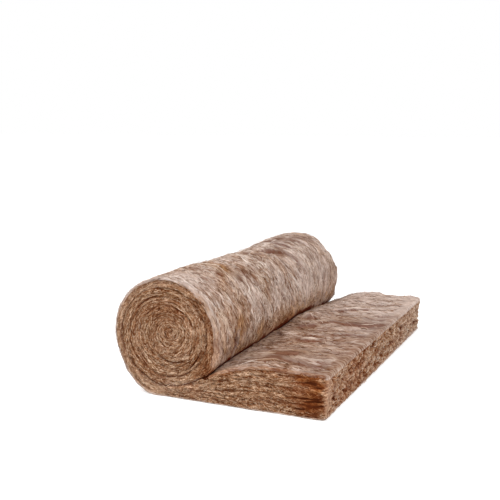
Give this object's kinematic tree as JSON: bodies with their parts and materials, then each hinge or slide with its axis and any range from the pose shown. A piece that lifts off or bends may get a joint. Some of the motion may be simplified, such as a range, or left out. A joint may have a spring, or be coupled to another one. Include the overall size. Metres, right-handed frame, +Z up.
{
  "type": "insulation roll",
  "caption": "Thick mat of brown mineral wool insulation, mostly rolled up on its side, with a full-thickness tail unrolled flat along the floor.",
  "frame": {"origin": "on the floor, under the middle of the bounding box in X and Y", "axes": "+Y along the roll, which is the mat's width; +X from the roll towards the cut end of the tail; +Z up"},
  "size_m": [0.737, 1.2, 0.3939],
  "materials": {
    "glass_wool": "matt, matted brown glass fibre"
  },
  "bodies": {
    "root": {"insulation_mat": "glass_wool"}
  },
  "joints": []
}
